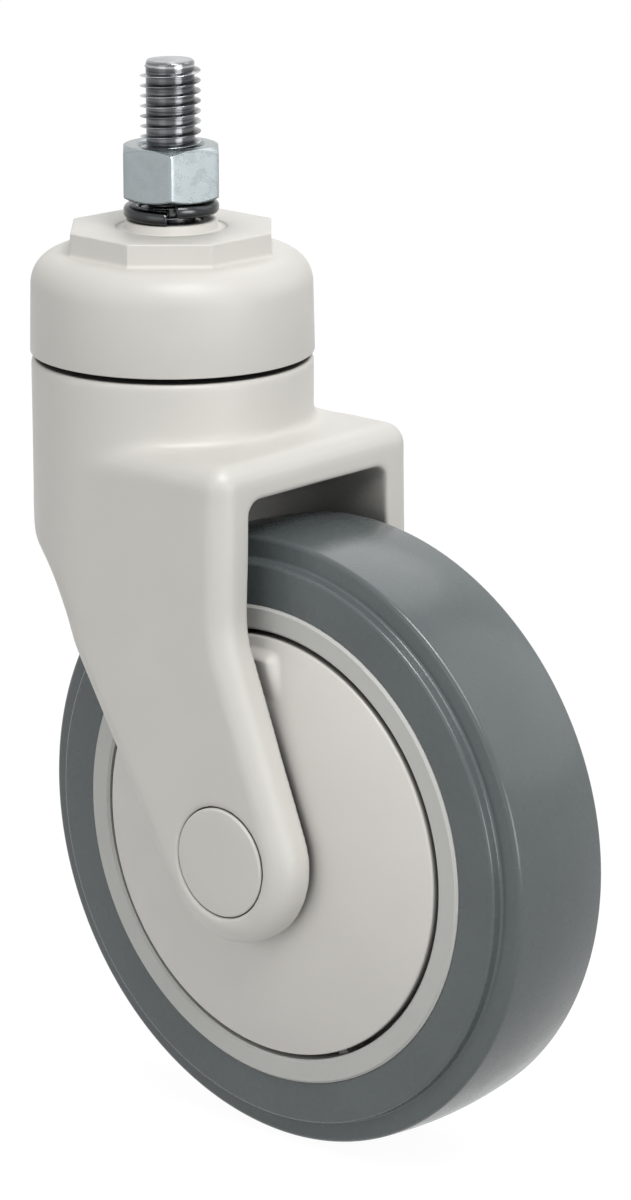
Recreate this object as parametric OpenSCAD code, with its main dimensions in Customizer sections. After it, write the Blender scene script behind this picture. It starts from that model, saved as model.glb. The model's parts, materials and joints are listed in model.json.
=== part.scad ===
// Swivel stem castor: a threaded stem, a moulded swivel head and fork, and a tyred wheel.
// The stem's axis is Z, the wheel trails towards +X and the axle lies along Y.
// Z = 0 is the top of the cap's octagon, the face that seats against the furniture.

/* [Stem] */
// Diameter of the stem's thread
thread_d = 12; // [10:0.5:14]
// Height of the stem's end above the seat
stem_rise = 33; // [28:1:60]
// Chamfer at the stem's upper end
stem_chamfer = 1.2; // [0.5:0.1:2]
// Depth of the collar's upper face below the seat
collar_depth = 6; // [5.5:0.5:8]
// Thickness of the collar
collar_h = 5; // [3:0.5:6]
// Width of the collar across its flats
collar_af = 24; // [20:1:26]
// Length of the journal below the lower bearing
journal_tail = 3; // [2.5:0.5:6]

/* [Nut and washer] */
// Width of the nut across its flats
nut_af = 19; // [17:0.5:21]
// Height of the nut
nut_h = 10.8; // [8:0.2:13]
// Height of the spring washer from its lower end to its upper end
washer_h = 4.2; // [3.4:0.2:6]
// Thickness of the washer's wire
washer_wire_h = 2.7; // [1.6:0.1:3]
// Width of the washer's wire
washer_wire_w = 3.2; // [2.5:0.1:4]
// Width of the split in the washer
washer_split = 1.6; // [0.8:0.2:3]
// Direction in which the nut's foremost corner and the washer's split face
front_turn = -46; // [-90:1:90]

/* [Cap] */
// Radius of the cap at its lower edge
cap_r = 28.4; // [27.5:0.1:30]
// Height of the cap from its lower edge to the seat
cap_h = 24.8; // [23.4:0.2:26]
// Wall of the cap
cap_wall = 3; // [2:0.1:4]
// Width of the cap's octagon across its flats
octagon_af = 39.5; // [36:0.5:40.5]
// Height of the octagon above the cap's crown
octagon_h = 4.7; // [3:0.1:5.4]
// Turn of the octagon and of the stem's collar
octagon_turn = -2.5; // [-22.5:0.5:22.5]
// Radius of the cap's shoulder
cap_shoulder_r = 6.6; // [4:0.2:8]
// Diameter of the washer's recess in the octagon
recess_d = 22.5; // [21.5:0.5:26]
// Depth of the washer's recess
recess_depth = 0.4; // [0.2:0.1:1]
// Height of the ring that carries the washer, above the floor of the recess
washer_seat_h = 1.8; // [0.8:0.1:2.5]

/* [Swivel bearings] */
// Bore of a swivel bearing
swivel_bore = 17; // [15:1:18]
// Outer diameter of a swivel bearing
swivel_od = 35; // [32:1:36]
// Width of a swivel bearing
swivel_w = 10; // [9:0.5:11]
// Distance between the two swivel bearings
swivel_gap = 15; // [12:0.5:16]
// Diameter of a swivel bearing's balls
swivel_ball_d = 4.76; // [4:0.02:5]
// Number of balls in a swivel bearing
swivel_balls = 10; // [7:1:11]

/* [Fork] */
// Gap between the cap and the fork's hub
swivel_slit = 1.2; // [0.8:0.1:2.5]
// Radius of the hub
hub_r = 28.2; // [28:0.1:30]
// Depth of the hub's lower edge below the seat
hub_depth = 66.2; // [62:0.5:70]
// Rounding of the hub's upper edge
hub_top_r = 0.5; // [0.3:0.1:2]
// Rounding of the hub's lower edge
hub_edge_r = 3; // [1:0.1:4]
// Wall of the neck that rises into the cap
neck_wall = 4.2; // [3:0.1:4.5]
// Depth of the shoulder below the seat
shoulder_depth = 38.5; // [36:0.5:42]
// Radius of the hollow between hub and shoulder
shoulder_blend_r = 3.6; // [2:0.2:5]
// Distance of the fork's front from the stem's axis
fork_front = 39.4; // [36:0.2:42]
// Width of the fork over its legs
fork_w = 56.2; // [54:0.2:56.2]
// Outward lean of each leg at the axle
leg_splay = 1.5; // [0:0.1:2]
// Depth below the seat at which the legs begin to lean outwards
splay_depth = 46; // [44:1:60]
// Clear width between the legs
fork_gap = 40; // [39:0.5:42]
// Rounding of the legs' outer edges
leg_edge_r = 4; // [2:0.1:5]
// Depth below the seat at which the front edge bends forwards
leg_bend_depth = 72; // [66:0.5:80]
// Radius of that bend
leg_bend_r = 22; // [8:1:40]
// Distance behind the stem's axis at which a leg leaves the hub
heel_back = 12; // [6:0.5:16]
// Radius of the hollow at the heel
heel_r = 14; // [4:1:16]
// Radius of the boss round the axle
boss_r = 17; // [15:0.5:20]
// Radius of the corners between wheel space and legs
gap_corner_r = 3; // [1:0.5:5]

/* [Axle] */
// Distance of the axle behind the stem's axis
trail = 39.5; // [37:0.5:42]
// Depth of the axle below the seat
axle_depth = 116.5; // [114:0.5:122]
// Diameter of the axle bolt
axle_d = 8; // [6:0.5:8]
// Width of the bolt's head and nut across their flats
axle_af = 13; // [11:0.5:14]
// Height of the bolt's head and of its nut
axle_head_h = 4; // [3:0.2:4.2]
// Diameter of the axle caps
axle_cap_d = 22.2; // [21:0.1:24]
// Height of an axle cap above its leg
axle_cap_rise = 0.3; // [0.1:0.1:1.5]
// Depth of the bores for the axle caps, from a leg's outer face
cap_bore_depth = 6.6; // [6:0.1:7.1]

/* [Wheel bearings] */
// Bore of a wheel bearing
wheel_bore = 10; // [10:0.5:12]
// Outer diameter of a wheel bearing
wheel_od = 30; // [29:0.5:32]
// Width of a wheel bearing
wheel_bearing_w = 9; // [8.6:0.1:9.4]
// Distance between the two wheel bearings
wheel_bearing_gap = 7; // [6:0.5:7]
// Diameter of a wheel bearing's balls
wheel_ball_d = 4.76; // [4:0.02:5]
// Number of balls in a wheel bearing
wheel_balls = 8; // [6:1:9]

/* [Wheel] */
// Diameter of the tyre's tread
wheel_d = 125; // [122:0.5:128]
// Gap between tyre and fork above the wheel
wheel_space = 8; // [6:0.5:10]
// Width of the tyre across its sides
tyre_w = 30.2; // [28:0.2:31]
// Width of the raised tread
tread_w = 25.2; // [22:0.2:26]
// Height of the tread above the tyre's sides
tread_h = 5.4; // [3:0.1:6.5]
// Rounding of the tread's edges
tread_edge_r = 1.3; // [0.8:0.1:2.4]
// Rounding of the tyre's sides
side_edge_r = 0.8; // [0.5:0.1:2]
// Radius at which the tyre meets the rim
rim_r = 48.6; // [47:0.2:51]
// Width of the rim
rim_w = 31.4; // [31:0.2:33]
// Thickness of the rim
rim_t = 4.8; // [3:0.2:5.4]
// Thickness of the wheel's web
web_t = 5; // [4:0.5:6]
// Wall of the wheel's hub
wheel_hub_wall = 4.5; // [3:0.5:6]
// Number of ribs on each side of the web
ribs = 8; // [5:1:12]
// Thickness of a rib
rib_t = 2.4; // [1.6:0.2:3]

/* [Thread guards] */
// Gap between a guard and the rim
guard_gap = 0.9; // [0.7:0.05:1.6]
// Width over the guards' rims
guard_w = 31.4; // [30:0.1:31.8]
// Rise of a guard from its rim to its middle
guard_rise = 3.6; // [2:0.1:4.2]
// Wall of a guard
guard_wall = 2; // [1.4:0.1:2.4]
// Width by which a guard's pad shows in front of the leg
pad_show = 2.6; // [1:0.1:4]
// Height of a guard's pad above the guard's rim
pad_rise = 1.7; // [1:0.1:2.4]

/* [Clearances] */
// Radial clearance of pieces that stay together
seat_clear = 0.02; // [0.01:0.01:0.05]
// Clearance of screws, bolts and caps in their holes
hole_clear = 0.1; // [0.05:0.05:0.3]
// Clearance of the balls in their tracks and pockets
ball_clear = 0.08; // [0.05:0.01:0.1]
// Gap between seals, cages and what turns past them
seal_clear = 0.3; // [0.2:0.05:0.5]

/* [Hidden] */
$fn = 64;
// Largest turn between two points of a rounded outline, and steps of a rounded edge
turn_step = 6;
edge_steps = 8;
// Core of the thread, the stem's diameter inside nut and cap
core_d = thread_d - 1.4;

// Heights along the stem
collar_top = -collar_depth;
collar_bottom = collar_top - collar_h;
upper_bottom = collar_bottom - swivel_w;
lower_top = upper_bottom - swivel_gap;
lower_bottom = lower_top - swivel_w;
circlip_h = 1;
stem_bottom = lower_bottom - journal_tail;
recess_floor = -recess_depth;
washer_seat_z = recess_floor + washer_seat_h;
washer_inner_r = thread_d / 2 + 3 * hole_clear;
washer_outer_r = washer_inner_r + washer_wire_w;
washer_seat_r = washer_outer_r - 0.4;
nut_bottom = washer_seat_z + washer_h + seat_clear;
nut_top = nut_bottom + nut_h;
circlip_groove_r = swivel_bore / 2 - 0.5;

// Cap and hub
crown_z = -octagon_h;
cap_bottom = -cap_h;
hub_top = cap_bottom - swivel_slit;
neck_r = swivel_od / 2 + neck_wall;
neck_top = collar_bottom - seal_clear;
pocket_wall = 1.8;
cap_draft = 0.3;
cap_edge = 0.3;
cap_ceiling = crown_z - cap_wall;

// Fork and axle
half_fork = fork_w / 2;
half_gap = fork_gap / 2;
axle_z = -axle_depth;
wheel_r = wheel_d / 2;
arch_r = wheel_r + wheel_space;
leg_face = half_fork + leg_splay;
head_seat = leg_face - cap_bore_depth;
head_top = head_seat + axle_head_h;
axle_cap_r = axle_cap_d / 2;
axle_cap_top = leg_face + axle_cap_rise;
cap_bore_r = axle_cap_r + 3 * hole_clear;

// Wheel and guards
half_bearing_gap = wheel_bearing_gap / 2;
bearing_face = half_bearing_gap + wheel_bearing_w;
sleeve_r = wheel_bore / 2 - seat_clear;
bush_wall = 2.4;
bush_r = wheel_bore / 2 + bush_wall;
rim_inner_r = rim_r - rim_t;
wheel_hub_r = wheel_od / 2 + wheel_hub_wall;
guard_r = rim_inner_r - guard_gap;
guard_edge = guard_w / 2;
guard_lip = 2.6;
guard_bevel = 0.35;
guard_hub_r = bush_r + 5;
guard_hub_low = bearing_face + 2 * seal_clear;
tyre_key_w = 9;
tyre_key_h = 2.4;

// Colours
moulded_white = [0.82, 0.81, 0.79];
guard_white = [0.77, 0.76, 0.73];
rim_grey = [0.68, 0.68, 0.67];
tyre_grey = [0.40, 0.42, 0.43];
zinc = [0.66, 0.69, 0.71];
bearing_steel = [0.74, 0.75, 0.77];
seal_black = [0.10, 0.10, 0.11];
washer_black = [0.07, 0.07, 0.08];
cage_brown = [0.48, 0.37, 0.24];

// Geometry helpers
function unit(v) = v / norm(v);
function turned(p, q) = p[0] * q[1] - p[1] * q[0];
function arc(cx, cy, r, a0, a1, n = edge_steps) =
    [for (i = [0:n]) let (a = a0 + (a1 - a0) * i / n) [cx + r * cos(a), cy + r * sin(a)]];

// Point at which the line from q touches a circle, on the side given by the sign
function touch(c, r, q, side) =
    let (v = q - c, a = atan2(v[1], v[0]) + side * acos(r / norm(v)))
    c + r * [cos(a), sin(a)];

// Point at which the lines through p, q and through s, t cross
function crossing(p, q, s, t) = p + (q - p) * turned(s - p, t - s) / turned(q - p, t - s);

// Rounded corner at v of a clockwise outline, as points with their outward normals
function corner(u, v, w, r) =
    let (
        a = unit(u - v),
        b = unit(w - v),
        half = acos(a * b) / 2,
        c = v + unit(a + b) * r / sin(half),
        first = v + a * r / tan(half) - c,
        way = turned(v - u, w - v) < 0 ? -1 : 1,
        sweep = 180 - 2 * half,
        n = ceil(sweep / turn_step)
    )
    [for (i = [0:n])
        let (t = atan2(first[1], first[0]) + way * sweep * i / n, d = [cos(t), sin(t)])
        [c + r * d, -way * d]];

module about_axle(side = 1) {
    translate([trail, 0, axle_z])
        rotate([-90, 0, 0])
            mirror([0, 0, side < 0 ? 1 : 0])
                children();
}

module tube(r_in, r_out, z0, z1) {
    rotate_extrude()
        translate([r_in, z0])
            square([r_out - r_in, z1 - z0]);
}

// Regular prism with a corner towards +X, measured across its flats
module flat_prism(sides, af, z0, z1) {
    translate([0, 0, z0])
        cylinder(r = af / 2 / cos(180 / sides), h = z1 - z0, $fn = sides);
}

// Hexagon with its corners turned off by a 30 degree cone at the chosen ends
module chamfered_hex(af, z0, z1, low = true, high = true) {
    r = af / sqrt(3);
    drop = (r - af / 2) * tan(30);
    intersection() {
        flat_prism(6, af, z0, z1);
        rotate_extrude()
            polygon([
                [0, z0],
                [low ? af / 2 : r + 1, z0],
                [r, low ? z0 + drop : z0],
                [r + 1, low ? z0 + drop * (1 + 1 / (r - af / 2)) : z0],
                [r + 1, high ? z1 - drop * (1 + 1 / (r - af / 2)) : z1],
                [r, high ? z1 - drop : z1],
                [high ? af / 2 : r + 1, z1],
                [0, z1]
            ]);
    }
}

// Ball bearing pieces, with the bearing's middle at the origin and its axis along Z
function pitch_r(bore, od) = (bore + od) / 4;
function land(ball_d) = 0.38 * ball_d;

module track(bore, od, ball_d) {
    rotate_extrude()
        translate([pitch_r(bore, od), 0])
            circle(r = ball_d / 2 + ball_clear);
}

module inner_ring(bore, od, w, ball_d) {
    difference() {
        tube(bore / 2 + seat_clear, pitch_r(bore, od) - land(ball_d), -w / 2, w / 2);
        track(bore, od, ball_d);
    }
}

module outer_ring(bore, od, w, ball_d) {
    difference() {
        tube(pitch_r(bore, od) + land(ball_d), od / 2, -w / 2, w / 2);
        track(bore, od, ball_d);
    }
}

module ball_set(bore, od, ball_d, count) {
    for (i = [0:count - 1])
        rotate([0, 0, 360 * i / count])
            translate([pitch_r(bore, od), 0, 0])
                sphere(d = ball_d);
}

module cage(bore, od, ball_d, count) {
    half_h = ball_d / 2 + 0.5;
    difference() {
        tube(
            pitch_r(bore, od) - land(ball_d) + seal_clear,
            pitch_r(bore, od) + land(ball_d) - seal_clear,
            -half_h, half_h
        );
        for (i = [0:count - 1])
            rotate([0, 90, 360 * i / count])
                cylinder(r = ball_d / 2 + ball_clear, h = od);
    }
}

module seal(bore, od, w, ball_d) {
    seal_t = 0.9;
    top = w / 2 - 0.3;
    tube(
        pitch_r(bore, od) - land(ball_d) + seal_clear,
        pitch_r(bore, od) + land(ball_d) - seat_clear,
        top - seal_t, top
    );
}

module at_swivel(top, side = 1) {
    translate([0, 0, top - swivel_w / 2])
        mirror([0, 0, side < 0 ? 1 : 0])
            children();
}

module at_wheel_bearing(side, face = 1) {
    about_axle(side)
        translate([0, 0, half_bearing_gap + wheel_bearing_w / 2])
            mirror([0, 0, face < 0 ? 1 : 0])
                children();
}

// Stem, nut and washer
module threaded_stem() {
    color(zinc) {
        free_from = nut_top + 2 * hole_clear;
        r = thread_d / 2;
        journal_r = swivel_bore / 2;
        rotate_extrude()
            polygon([
                [0, stem_bottom],
                [journal_r - 0.8, stem_bottom],
                [journal_r, stem_bottom + 0.8],
                [journal_r, lower_bottom - circlip_h - 2 * seat_clear],
                [circlip_groove_r, lower_bottom - circlip_h - 2 * seat_clear],
                [circlip_groove_r, lower_bottom],
                [journal_r, lower_bottom],
                [journal_r, collar_top - collar_h / 2],
                [core_d / 2, collar_top - collar_h / 2],
                [core_d / 2, free_from],
                [r, free_from],
                [r, stem_rise - stem_chamfer],
                [r - stem_chamfer, stem_rise],
                [0, stem_rise]
            ]);
        rotate([0, 0, octagon_turn])
            flat_prism(6, collar_af, collar_bottom, collar_top);
    }
}

module stem_nut() {
    bore_r = core_d / 2 + hole_clear;
    sink = 0.7;
    color(zinc)
        rotate([0, 0, front_turn])
            difference() {
                chamfered_hex(nut_af, nut_bottom, nut_top);
                rotate_extrude()
                    polygon([
                        [0, nut_bottom - 1],
                        [bore_r + sink + 1, nut_bottom - 1],
                        [bore_r, nut_bottom + sink],
                        [bore_r, nut_top - sink],
                        [bore_r + sink + 1, nut_top + 1],
                        [0, nut_top + 1]
                    ]);
            }
}

// One turn of square wire that climbs from its lower end to its upper end
module spring_washer() {
    rings = 60;
    inner = washer_inner_r;
    outer = washer_outer_r;
    climb = washer_h - washer_wire_h;
    gap = asin(washer_split / (inner + outer));
    points = [for (i = [0:rings])
        let (
            a = front_turn - gap - (360 - 2 * gap) * i / rings,
            z = washer_seat_z + seat_clear + climb * i / rings
        )
        for (p = [[inner, 0], [outer, 0], [outer, washer_wire_h], [inner, washer_wire_h]])
            [p[0] * cos(a), p[0] * sin(a), z + p[1]]];
    sides = [for (i = [0:rings - 1], k = [0:3])
        [4 * i + k, 4 * i + (k + 1) % 4, 4 * i + 4 + (k + 1) % 4, 4 * i + 4 + k]];
    color(washer_black)
        polyhedron(points, concat([[3, 2, 1, 0]], sides, [[for (k = [0:3]) 4 * rings + k]]));
}

// Cap with its octagon, the washer's seat and the pocket that turns with the stem's collar
module swivel_cap() {
    crown_r = cap_r - cap_draft - cap_shoulder_r;
    pocket_r = collar_af / sqrt(3) + hole_clear + pocket_wall;
    skirt_r = cap_r - cap_wall;
    color(moulded_white)
        difference() {
            union() {
                rotate_extrude()
                    polygon(concat(
                        [[0, cap_bottom + 1], [skirt_r - 1, cap_bottom], [cap_r - cap_edge, cap_bottom]],
                        [[cap_r, cap_bottom + cap_edge]],
                        arc(crown_r, crown_z - cap_shoulder_r, cap_shoulder_r, 0, 90),
                        [[0, crown_z]]
                    ));
                difference() {
                    rotate([0, 0, octagon_turn + 22.5])
                        flat_prism(8, octagon_af, crown_z - 1, 0);
                    translate([0, 0, recess_floor])
                        cylinder(d = recess_d, h = recess_depth + 1);
                }
                tube(thread_d / 2, washer_seat_r, crown_z - 1, washer_seat_z);
            }
            rotate_extrude()
                polygon(concat(
                    [[pocket_r, neck_top + 3 * seal_clear], [0, neck_top + 3 * seal_clear]],
                    [[0, cap_bottom - 1], [skirt_r, cap_bottom - 1]],
                    arc(skirt_r - 3, cap_ceiling - 3, 3, 0, 90),
                    [[pocket_r, cap_ceiling]]
                ));
            rotate([0, 0, octagon_turn])
                flat_prism(6, collar_af + 2 * hole_clear, collar_bottom - 1, collar_top + seat_clear);
            translate([0, 0, cap_bottom])
                cylinder(d = thread_d + 4 * hole_clear, h = cap_h + washer_seat_z + 1);
        }
}

module swivel_spacer() {
    color(bearing_steel)
        tube(
            swivel_bore / 2 + seat_clear,
            pitch_r(swivel_bore, swivel_od) - land(swivel_ball_d),
            lower_top, upper_bottom
        );
}

module stem_circlip() {
    gap = 50;
    top = lower_bottom - seat_clear;
    color(bearing_steel)
        rotate([0, 0, gap / 2])
            rotate_extrude(angle = 360 - gap)
                translate([circlip_groove_r + seat_clear, top - circlip_h])
                    square([2.6, circlip_h]);
}

// Side view of the fork's shoulder and legs, as a clockwise list of corners with radii
function leg_outline() =
    let (
        top = -shoulder_depth,
        tail = 2 - hub_r,
        low = -hub_depth + hub_edge_r / 4,
        axle = [trail, axle_z],
        bend = [fork_front, -leg_bend_depth],
        heel = [-heel_back, low],
        front_touch = touch(axle, boss_r, bend, -1),
        back_touch = touch(axle, boss_r, heel, 1),
        inner_r = leg_edge_r + 0.5
    )
    [
        [[tail, top], inner_r],
        [[fork_front, top], inner_r],
        [bend, leg_bend_r],
        [crossing(bend, front_touch, heel, back_touch), boss_r],
        [heel, heel_r],
        [[tail, low], inner_r]
    ];

// Outward lean of a leg at a height
function lean(z) = leg_splay * max(0, -splay_depth - z) / (axle_depth - splay_depth);

// Plate over both legs, lofted through the outline with round edges on both faces
module leg_plate() {
    corners = leg_outline();
    n = len(corners);
    path = [for (i = [0:n - 1])
        for (p = corner(corners[(i + n - 1) % n][0], corners[i][0], corners[(i + 1) % n][0], corners[i][1]))
            p];
    count = len(path);
    right_layers = [for (i = [0:edge_steps])
        let (a = 90 * i / edge_steps)
        [leg_edge_r * (1 - cos(a)) - half_fork, leg_edge_r * (1 - sin(a))]];
    left_layers = [for (i = [edge_steps:-1:0]) [-right_layers[i][0], right_layers[i][1]]];
    layers = concat(right_layers, left_layers);
    rings = len(layers);
    middle = [fork_front / 2, -(shoulder_depth + hub_depth) / 2];
    points = concat(
        [for (l = layers, p = path)
            let (q = p[0] - p[1] * l[1])
            [q[0], l[0] + sign(l[0]) * lean(q[1]), q[1]]],
        [for (side = [-1, 1]) [middle[0], side * (half_fork + lean(middle[1])), middle[1]]]
    );
    sides = [for (j = [0:rings - 2], i = [0:count - 1])
        let (k = (i + 1) % count)
        [j * count + i, (j + 1) * count + i, (j + 1) * count + k, j * count + k]];
    right_face = [for (i = [0:count - 1]) [rings * count, i, (i + 1) % count]];
    last = (rings - 1) * count;
    left_face = [for (i = [0:count - 1]) [rings * count + 1, last + (i + 1) % count, last + i]];
    polyhedron(points, concat(sides, right_face, left_face));
}

// Hub with its neck, rounded at its edges
module fork_hub() {
    rotate_extrude()
        polygon(concat(
            [[0, -hub_depth]],
            arc(hub_r - hub_edge_r, hub_edge_r - hub_depth, hub_edge_r, -90, 0),
            arc(hub_r - hub_top_r, hub_top - hub_top_r, hub_top_r, 0, 90),
            [[neck_r, hub_top], [neck_r, neck_top - 0.5], [neck_r - 0.5, neck_top], [0, neck_top]]
        ));
}

// Hollow fillet round the hub, kept inside the legs' rounded upper edges
module shoulder_blend() {
    r = shoulder_blend_r;
    top = -shoulder_depth;
    side_r = leg_edge_r + r;
    w = half_fork - 2 * seat_clear;
    intersection() {
        rotate_extrude()
            polygon(concat(
                [[hub_r - 2, top - r], [hub_r - 2, top + r]],
                arc(hub_r + r, top + r, r, 180, 270),
                [[hub_r + 2 * r, top - r]]
            ));
        translate([fork_front / 2, 0, 0])
            rotate([90, 0, 90])
                linear_extrude(height = fork_front, center = true)
                    polygon(concat(
                        [[-w, top - 2 * r]],
                        arc(side_r - w, top + r - side_r, side_r, 180, 90),
                        arc(w - side_r, top + r - side_r, side_r, 90, 0),
                        [[w, top - 2 * r]]
                    ));
    }
}

// Plan of the legs: straight sides in front of the stem's axis, round behind it
module leg_plan() {
    bottom = -axle_depth - boss_r - 1;
    plan_r = hub_r - 2 * seat_clear;
    rotate_extrude()
        polygon([
            [0, bottom],
            [plan_r + lean(bottom), bottom],
            [plan_r, -splay_depth],
            [plan_r, -1],
            [0, -1]
        ]);
    translate([0, -fork_w, bottom])
        cube([trail + 2 * boss_r, 2 * fork_w, -1 - bottom]);
}

module wheel_cavity() {
    about_axle()
        rotate_extrude()
            polygon(concat(
                [[0, -half_gap]],
                arc(arch_r - gap_corner_r, gap_corner_r - half_gap, gap_corner_r, -90, 0),
                arc(arch_r - gap_corner_r, half_gap - gap_corner_r, gap_corner_r, 0, 90),
                [[0, half_gap]]
            ));
}

module fork() {
    seat_r = swivel_od / 2 + seat_clear;
    ledge_r = pitch_r(swivel_bore, swivel_od) + land(swivel_ball_d);
    color(moulded_white)
        difference() {
            union() {
                fork_hub();
                shoulder_blend();
                intersection() {
                    leg_plate();
                    leg_plan();
                }
            }
            wheel_cavity();
            translate([0, 0, upper_bottom])
                cylinder(r = seat_r, h = cap_h + swivel_w);
            translate([0, 0, lower_top - 1])
                cylinder(r = ledge_r, h = swivel_gap + 2);
            translate([0, 0, -hub_depth - 1])
                cylinder(r = seat_r, h = hub_depth + 1 + lower_top);
            about_axle()
                cylinder(d = axle_d + 2 * hole_clear, h = 2 * fork_w, center = true);
            for (side = [-1, 1])
                about_axle(side)
                    translate([0, 0, head_seat])
                        cylinder(r = cap_bore_r, h = half_fork);
        }
}

// Axle
module axle_bolt() {
    end = 0.8;
    color(zinc)
        about_axle(-1) {
            rotate_extrude()
                polygon([
                    [0, -head_top],
                    [axle_d / 2 - end, -head_top],
                    [axle_d / 2, end - head_top],
                    [axle_d / 2, head_seat + 0.5],
                    [0, head_seat + 0.5]
                ]);
            chamfered_hex(axle_af, head_seat, head_top, low = false);
        }
}

module axle_nut() {
    color(zinc)
        about_axle()
            difference() {
                chamfered_hex(axle_af, head_seat, head_top, low = false);
                cylinder(d = axle_d + 2 * seat_clear, h = head_top + 1);
            }
}

module axle_sleeve() {
    color(bearing_steel)
        about_axle()
            tube(axle_d / 2 + seat_clear, sleeve_r, -half_gap, half_gap);
}

module axle_bush(side) {
    color(bearing_steel)
        about_axle(side)
            tube(wheel_bore / 2 + seat_clear, bush_r, bearing_face, half_gap);
}

module wheel_bearing_spacer() {
    color(bearing_steel)
        about_axle()
            tube(wheel_bore / 2 + seat_clear, bush_r, -half_bearing_gap, half_bearing_gap);
}

// Push-in cap over the bolt's head or nut, with a crowned face
module axle_cap(side) {
    skirt_t = 1.6;
    edge_r = 1.1;
    crown = 0.35;
    under = head_top + 2 * hole_clear;
    color(moulded_white)
        about_axle(side)
            rotate_extrude()
                polygon(concat(
                    [[0, under], [axle_cap_r - skirt_t, under], [axle_cap_r - skirt_t, head_seat]],
                    [[axle_cap_r - 0.4, head_seat], [axle_cap_r, head_seat + 0.4]],
                    arc(axle_cap_r - edge_r, axle_cap_top - crown - edge_r, edge_r, 0, 80),
                    [[axle_cap_r / 2, axle_cap_top - crown / 4], [0, axle_cap_top]]
                ));
}

// Crowned guard with a hub on the axle bush and a pad that lies against the leg
module thread_guard(side) {
    top = guard_edge + guard_rise;
    crown_r = (guard_r * guard_r + guard_rise * guard_rise) / (2 * guard_rise);
    hub_angle = asin(guard_hub_r / crown_r);
    rim_angle = asin((guard_r - guard_bevel) / crown_r);
    inner_angle = asin((guard_r - guard_lip) / crown_r);
    inner_r = crown_r - guard_wall;
    hub_face = half_gap - seat_clear;
    lip_low = guard_edge - guard_wall - 0.8;
    color(guard_white)
        about_axle(side) {
            rotate_extrude()
                polygon(concat(
                    [[bush_r + hole_clear, guard_hub_low], [guard_hub_r - 1, guard_hub_low]],
                    arc(0, top - crown_r, inner_r, 90 - hub_angle, 90 - inner_angle),
                    [[guard_r - guard_lip + 0.6, lip_low], [guard_r, lip_low]],
                    [[guard_r, guard_edge - guard_bevel]],
                    arc(0, top - crown_r, crown_r, 90 - rim_angle, 90 - hub_angle),
                    [[guard_hub_r, hub_face], [bush_r + hole_clear, hub_face]]
                ));
            guard_pad();
        }
}

// Low flat pad on the guard behind the leg, which shows a little in front of the leg's upper end
module guard_pad() {
    axle = [trail, axle_z];
    bend = [fork_front, -leg_bend_depth];
    heel = [-heel_back, -hub_depth];
    front_touch = touch(axle, boss_r, bend, -1);
    back_touch = touch(axle, boss_r, heel, 1);
    along = unit(front_touch - bend);
    front = bend + [-along[1], along[0]] * pad_show;
    back = back_touch + unit(axle - back_touch) * 3;
    low = guard_edge + 0.2;
    outline = [front, front_touch, axle, back, back + unit(heel - back_touch) * 60];
    intersection() {
        translate([0, 0, low])
            linear_extrude(height = pad_rise - 0.2)
                polygon([for (p = outline) [p[0] - trail, axle_z - p[1]]]);
        tube(0.58 * guard_r, guard_r - 3.4, low - 1, half_gap);
    }
}

// Wheel
module wheel_rim() {
    half_rim = rim_w / 2;
    hub_face = bearing_face + seal_clear;
    dish_r = 1.2;
    edge = 0.5;
    key = tyre_key_w / 2 - hole_clear;
    key_r = rim_r + tyre_key_h - hole_clear;
    ledge_r = pitch_r(wheel_bore, wheel_od) + land(wheel_ball_d);
    seat_r = wheel_od / 2 + seat_clear;
    half_web = web_t / 2;
    rib_top = hub_face - 1;
    right_half = [
        [seat_r, -half_bearing_gap],
        [seat_r, -hub_face],
        [wheel_hub_r, -hub_face],
        [wheel_hub_r + 1, -half_web],
        [rim_inner_r - 1.5, -half_web],
        [rim_inner_r, -half_web - dish_r],
        [rim_inner_r, edge - half_rim],
        [rim_inner_r + edge, -half_rim],
        [rim_r - edge, -half_rim],
        [rim_r, edge - half_rim],
        [rim_r, -key],
        [key_r, -key]
    ];
    left_half = [for (i = [len(right_half) - 1:-1:0]) [right_half[i][0], -right_half[i][1]]];
    color(rim_grey)
        about_axle() {
            rotate_extrude()
                polygon(concat(
                    [[ledge_r, -half_bearing_gap]], right_half, left_half, [[ledge_r, half_bearing_gap]]
                ));
            for (i = [0:ribs - 1], side = [0, 1])
                mirror([0, 0, side])
                    rotate([0, 0, 360 * (i + 0.5) / ribs])
                        translate([wheel_hub_r - 1, -rib_t / 2, 0])
                            cube([rim_inner_r - wheel_hub_r + 2, rib_t, rib_top]);
        }
}

// Tyre with flat sides, round edges and a raised tread, keyed on the rim
module tyre() {
    half_tyre = tyre_w / 2;
    half_tread = tread_w / 2;
    side_top = wheel_r - tread_h;
    groove = 0.5;
    key = tyre_key_w / 2;
    key_r = rim_r + tyre_key_h;
    inner_r = rim_r + seat_clear;
    right_half = concat(
        [[key_r, -key], [inner_r, -key], [inner_r, 0.3 - half_tyre], [inner_r + 0.3, -half_tyre]],
        arc(side_top - side_edge_r, side_edge_r - half_tyre, side_edge_r, -90, -8),
        [[side_top, -half_tread - groove]],
        [[side_top + groove, -half_tread]],
        arc(wheel_r - tread_edge_r, tread_edge_r - half_tread, tread_edge_r, -90, 0)
    );
    left_half = [for (i = [len(right_half) - 1:-1:0]) [right_half[i][0], -right_half[i][1]]];
    color(tyre_grey)
        about_axle()
            rotate_extrude()
                polygon(concat(right_half, left_half));
}

threaded_stem();
stem_nut();
spring_washer();
swivel_cap();
swivel_spacer();
stem_circlip();
fork();

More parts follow.
